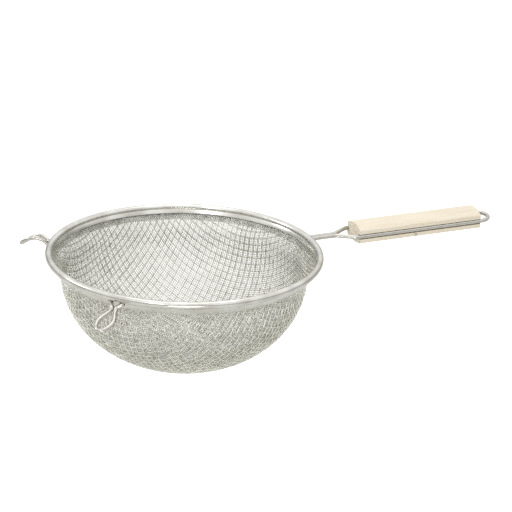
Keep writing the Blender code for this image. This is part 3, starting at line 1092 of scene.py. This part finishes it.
@dataclass
class Handle:
    """The hairpin of wire, the wooden grip that it lies in, and the two brads."""

    section: RimSection
    wire: float = 2.1
    weld_x: float = 155.0           # the legs run side by side as far as this
    grip_start: float = 174.2
    grip_end: float = 303.0
    half_width: float = 14.6
    half_side: float = 6.3
    crown: float = 4.0
    belly: float = 2.2
    groove_inset: float = 1.7
    groove_flare: float = 0.25
    bend_reach: float = 2.5
    knee_lead: float = 3.2
    loop_tip: float = 316.4
    brad_x: float = 233.0
    brad_z: float = -4.1
    brad_head: float = 1.1
    brad_depth: float = 0.7
    nail_hole: float = 0.9          # radius
    nail_hole_depth: float = 11.0   # from a little outside the wood
    edge_round: float = 0.7
    strips: int = 24                # across the grip's crown
    loop_steps: int = 32            # round half of the hanging loop
    bend_steps: int = 10

    @property
    def pitch(self) -> float:
        """Half the distance between the two legs at the rim."""
        return self.wire + 0.5 * self.section.gap

    @property
    def spread(self) -> float:
        """Half the distance between the legs in the grip's grooves."""
        return self.half_width - self.groove_inset

    @property
    def root(self) -> float:
        """Where the wire's ends meet the hoop."""
        return self.section.radius + self.section.bead - self.section.sheet

    def holes(self) -> list[Hole]:
        """The two holes in the bead: each drill's start, end and radius."""
        found = []
        for side in Side:
            start = Vector((self.root - 1.0, side.value * self.pitch, 0.0))
            found.append((start, start + Vector((8.0, 0.0, 0.0)), self.wire + self.section.gap))
        return found

    def build(self, wire_finish: Finish, wood_finish: Finish) -> None:
        """Bend the wire, shape the grip and dress everything."""
        bright = wire_finish.material()
        hairpin = bend_wire("hairpin", self.route(), self.wire)
        hand_in(hairpin, "handle_hairpin", bright, Slot.WIRE, "handle_wire")
        grip = self.shaped_grip()
        hand_in(grip, "beech_grip", wood_finish.material(), Slot.WOOD, "grip")
        for side in Side:
            label = side.name.lower()
            hand_in(self.nail(side), f"nail_{label}", bright, Slot.WIRE, f"brad_{label}")

    def route(self) -> list[Vector]:
        """The hairpin's centre, from the rim round the hanging loop and back, in millimetres."""
        root = Vector((self.root, -self.pitch, 0.0))
        fork = Vector((self.weld_x, -self.pitch, 0.0))
        knee = Vector((self.grip_start - self.knee_lead, -self.spread, 0.0))
        turn = Vector((self.grip_end + 0.3, -self.spread, 0.0))
        half = [root] + self.corner(root, fork, knee) + self.corner(fork, knee, turn) + [turn]
        for step in range(1, self.loop_steps + 1):
            phase = 0.5 * math.pi * step / self.loop_steps
            half.append(Vector((turn.x + (self.loop_tip - turn.x) * math.sin(phase),
                                -self.spread * math.cos(phase), 0.0)))
        half[-1].y = 0.0
        return half + [Vector((p.x, -p.y, p.z)) for p in reversed(half[:-1])]

    def corner(self, before: Vector, at: Vector, after: Vector) -> list[Vector]:
        """Points round a bend in the wire, which starts and ends a little way from its corner."""
        start = at + (before - at).normalized() * self.bend_reach
        end = at + (after - at).normalized() * self.bend_reach
        times = [step / self.bend_steps for step in range(self.bend_steps + 1)]
        return [(1 - t) ** 2 * start + 2 * t * (1 - t) * at + t * t * end for t in times]

    def shaped_grip(self) -> bpy.types.Object:
        """The grip: a block with a crowned top, a bellied underside and a groove in each side.

        The block is cut into strips across and along, its top and underside are pulled to their
        curves, its edges are eased, and the grooves and nail holes are taken out.
        """
        length = self.grip_end - self.grip_start
        middle = 0.5 * (self.grip_start + self.grip_end)
        deselect_all()
        bpy.ops.mesh.primitive_cube_add(size=1.0, location=(middle * MM, 0.0, 0.0))
        grip = bpy.context.object
        grip.scale = (length * MM, 2.0 * self.half_width * MM, 2.0 * self.half_side * MM)
        apply_place()
        bpy.ops.object.mode_set(mode="EDIT")
        for k in range(1, self.strips):
            across = (-1.0 + 2.0 * k / self.strips) * self.half_width * MM
            bpy.ops.mesh.select_all(action="SELECT")
            bpy.ops.mesh.bisect(plane_co=(0.0, across, 0.0), plane_no=(0.0, 1.0, 0.0))
        bpy.ops.object.mode_set(mode="OBJECT")
        for vertex in grip.data.vertices:
            share = vertex.co.y / (self.half_width * MM)
            rise = self.crown if vertex.co.z > 0.0 else -self.belly
            vertex.co.z += rise * (1.0 - share * share) * MM
        bevel(grip, self.edge_round, 4, 35.0)
        for side in Side:
            self.groove(grip, side)
            mouth = Vector((self.brad_x, side.value * (self.half_width + 2.0), self.brad_z))
            drill(grip, mouth, mouth - Vector((0.0, side.value * self.nail_hole_depth, 0.0)), self.nail_hole)
        smooth(grip, 32.0)
        return grip

    def groove(self, grip: bpy.types.Object, side: Side) -> None:
        """Rout one side's groove: round at the bottom, with straight walls out to the side."""
        radius = self.wire + self.section.gap
        run = Vector((self.grip_end - self.grip_start + 10.0, 0.0, 0.0))
        start = Vector((self.grip_start - 5.0, side.value * self.spread, 0.0))
        drill(grip, start, start + run, radius)
        deselect_all()
        bpy.ops.mesh.primitive_cube_add(size=1.0, location=((start + 0.5 * run) * MM))
        cutter = bpy.context.object
        cutter.location.y = side.value * (self.spread + 3.0) * MM
        cutter.scale = (run.length * MM, 6.0 * MM, 2.0 * (radius + 0.5 * self.groove_flare) * MM)
        apply_place()
        subtract(grip, cutter)

    def nail(self, side: Side) -> bpy.types.Object:
        """A brad: a domed head against the wood, and a shank drawn in to a point."""
        deselect_all()
        bpy.ops.mesh.primitive_cylinder_add(vertices=24, radius=self.brad_head * MM,
                                            depth=self.brad_depth * MM,
                                            location=(0.0, 0.0, 0.5 * self.brad_depth * MM))
        piece = bpy.context.object
        apply_place()
        bpy.ops.object.mode_set(mode="EDIT")
        bpy.ops.mesh.select_mode(type="VERT")
        select_vertices(piece, lambda place: place.z < 1e-6)
        for reach, size in ((0.0, 0.55), (7.8, 1.0), (1.2, 0.12)):
            bpy.ops.mesh.extrude_region_move(TRANSFORM_OT_translate={"value": (0.0, 0.0, -reach * MM)})
            shape = bmesh.from_edit_mesh(piece.data)
            for vertex in (v for v in shape.verts if v.select):
                vertex.co.x *= size
                vertex.co.y *= size
            bmesh.update_edit_mesh(piece.data)
        bpy.ops.object.mode_set(mode="OBJECT")
        bevel(piece, 0.2, 3, 50.0)
        outwards = Vector((0.0, float(side.value), 0.0))
        place = Vector((self.brad_x, side.value * (self.half_width + self.section.gap), self.brad_z))
        piece.matrix_world = aimed(place, outwards)
        make_active(piece)
        apply_place()
        smooth(piece, 40.0)
        return piece


# ---------------------------------------------------------------- the studio


@dataclass
class Studio:
    """A plain pale floor, soft light and the camera."""

    azimuth: float = math.radians(-24.4)
    elevation: float = math.radians(21.239)
    roll: float = math.radians(1.765)
    distance: float = 3.1625
    lens: float = 238.65
    aside: Point = (0.06655, -0.00138)
    floor_drop: float = 0.42        # how far below the rim the floor lies
    floor_half: float = 6.0
    air_low: float = 0.55           # brightness of the studio's walls low down, higher up, and its ceiling
    air_middle: float = 1.15
    air_high: float = 1.3
    dusk: float = 0.4               # what is left of that on the room's dark side
    aim: Triple = (0.05, 0.0, -0.03)    # where the lights point

    def build(self) -> None:
        """Set up the whole studio."""
        scene = bpy.context.scene
        scene.view_settings.view_transform = "Standard"
        scene.cycles.use_denoising = False      # a denoiser smears wires as thin as these
        self.world(scene)
        self.floor()
        self.lights()
        self.camera(scene)

    def world(self, scene: bpy.types.Scene) -> None:
        """Soft light from all round: a bright ceiling, over walls that darken downwards and towards one
        side of the room, which give the metal its darks."""
        world = bpy.data.worlds.new("studio_air")
        world.use_nodes = True
        tree = world.node_tree
        scene.world = world
        place = add_node(tree, "TexCoord").outputs["Generated"]
        height = add_node(tree, "SeparateXYZ", {"Vector": place}).outputs["Z"]
        air = add_ramp(tree, height, (0.12, grey(self.air_low)), (0.36, grey(self.air_middle)),
                       (0.75, grey(self.air_high)))
        bearing = self.azimuth - 0.5 * math.pi
        side = add_node(tree, "VectorMath", {0: place, 1: (math.cos(bearing), math.sin(bearing), 0.0)},
                        operation="DOT_PRODUCT").outputs["Value"]
        shade = add_ramp(tree, side, (0.90, grey(1.0)), (0.96, grey(self.dusk)))
        room = add_node(tree, "Mix", {"Factor": 1.0, 6: air, 7: shade},
                        data_type="RGBA", blend_type="MULTIPLY")
        tree.links.new(room.outputs[2], tree.nodes["Background"].inputs["Color"])

    def floor(self) -> None:
        """The floor."""
        deselect_all()
        bpy.ops.mesh.primitive_plane_add(size=2.0 * self.floor_half, location=(0.0, 0.0, -self.floor_drop))
        plane = bpy.context.object
        plane.name = "studio_floor"
        plane.data.materials.append(PalePaper(self.placed().translation, self.floor_drop).material())
        plane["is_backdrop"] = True

    def lights(self) -> None:
        """Large soft lights: overhead, behind on the left, in front on the left, and a low fill in front."""
        for name, spot, size, power in (("overhead", (0.1, 0.2, 1.6), 1.2, 4.0),
                                        ("left_back", (-1.3, 0.9, 0.9), 0.5, 4.5),
                                        ("front_left", (-1.5, -1.4, 1.3), 0.5, 4.5),
                                        ("low_front", (-0.5, -1.3, -0.3), 0.6, 5.0)):
            light = bpy.data.lights.new(name, "AREA")
            light.shape = "SQUARE"
            light.size = size
            light.energy = power
            holder = bpy.data.objects.new(name, light)
            holder.location = spot
            ahead = Vector(self.aim) - Vector(spot)
            holder.rotation_euler = ahead.to_track_quat("-Z", "Y").to_euler()
            bpy.context.scene.collection.objects.link(holder)

    def placed(self) -> Matrix:
        """The camera's place and turn, from the front left and above."""
        sin_a, cos_a = math.sin(self.azimuth), math.cos(self.azimuth)
        sin_e, cos_e = math.sin(self.elevation), math.cos(self.elevation)
        back = Vector((sin_a * cos_e, -cos_a * cos_e, sin_e))
        level = Vector((cos_a, sin_a, 0.0))
        upright = back.cross(level)
        right = math.cos(self.roll) * level + math.sin(self.roll) * upright
        up = -math.sin(self.roll) * level + math.cos(self.roll) * upright
        place = back * self.distance + right * self.aside[0] + up * self.aside[1]
        return Matrix.Translation(place) @ Matrix((right, up, back)).transposed().to_4x4()

    def camera(self, scene: bpy.types.Scene) -> None:
        """The camera, with a long lens."""
        lens = bpy.data.cameras.new("camera")
        lens.lens = self.lens
        lens.sensor_width = 36.0
        lens.clip_start, lens.clip_end = 0.1, 50.0
        holder = bpy.data.objects.new("camera", lens)
        holder.matrix_world = self.placed()
        scene.collection.objects.link(holder)
        scene.camera = holder


# ---------------------------------------------------------------- the whole strainer


@dataclass
class Strainer:
    """The double sieve strainer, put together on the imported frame."""

    section: RimSection = field(default_factory=RimSection)
    punch_turn: float = math.radians(13.3)
    punch_radius: float = 1.8
    grain: float = math.radians(37.0)   # of both meshes, from the handle

    def punches(self) -> list[Hole]:
        """The two empty holes opposite the handle: each drill's start, end and radius."""
        cut = self.section
        inner = cut.point(0.0, cut.punch_along)
        outer = cut.point(cut.outer_face - cut.drill_past, cut.punch_along)
        found = []
        for side in Side:
            angle = math.pi + side.value * self.punch_turn
            found.append((around(angle, inner[0], 0.0, inner[1]), around(angle, outer[0], 0.0, outer[1]),
                          self.punch_radius))
        return found

    def build(self, nodes: dict[str, bpy.types.Object]) -> None:
        """Build and dress every piece.

        Args:
            nodes: the frame's CAD nodes by name.
        """
        cut = self.section
        left = PotHook(cut, Side.LEFT, [(128.0, -7.2), (131.9, -5.6), (135.0, -2.4), (139.0, -0.3),
                                        (143.6, 0.4), (149.2, -1.2), (154.2, -4.3), (159.2, -7.6)], 0.22)
        right = PotHook(cut, Side.RIGHT, [(127.6, -8.4), (131.6, -11.9), (138.0, -15.0), (147.0, -18.5),
                                          (155.8, -21.9)], 0.0)
        handle = Handle(cut)
        steel, bright = RolledSteel(), BrightWire()
        rim = Rim(cut, left.holes() + right.holes() + handle.holes() + self.punches())
        rim.build(steel, PocketPaintedLight())
        hoop = nodes["rim_hoop"]
        hoop.data.materials.clear()
        hoop.data.materials.append(BrightWire(name="hoop_wire", roughness=0.25).material())
        for hook in (left, right):
            hook.build(bright)
        handle.build(bright, SandedBeech())
        bowl = BowlShape(cut)
        # the holes round which the coarse wires get painted shade, for the dark pocket in the band
        pocket = left.holes() + right.holes() + self.punches()
        coarse = WovenMesh(name="coarse_weave", node="coarse_mesh", face=cut.coarse_face, inset=0.0,
                           shell=cut.coarse_shell, pitch=6.4, wire=0.46, grain=self.grain,
                           sides=8, rings=4, halves=1, holes=pocket)
        fine = WovenMesh(name="fine_weave", node="fine_mesh", face=cut.fine_face,
                         inset=cut.coarse_shell + cut.gap, shell=cut.fine_shell, pitch=2.1, wire=0.26,
                         grain=self.grain, sides=4, rings=1, halves=2, holes=[])
        coarse.build(bowl, WovenWire(name="coarse_wire", bright="#EAEAE3", dull="#C8C7BD"))
        fine.build(bowl, WovenWire(name="fine_wire", bright="#D6D6CE", dull="#B6B5AB"))


def corners() -> list[list[float]]:
    """The lowest and highest corner of what shows, as plain lists."""
    return [list(corner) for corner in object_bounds()]


def main() -> None:
    """Load the frame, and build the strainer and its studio."""
    logging.basicConfig(level=logging.INFO, format="%(message)s")
    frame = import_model()
    deselect_all()
    Strainer().build(frame["nodes"])
    Studio().build()


if __name__ == "__main__":
    main()
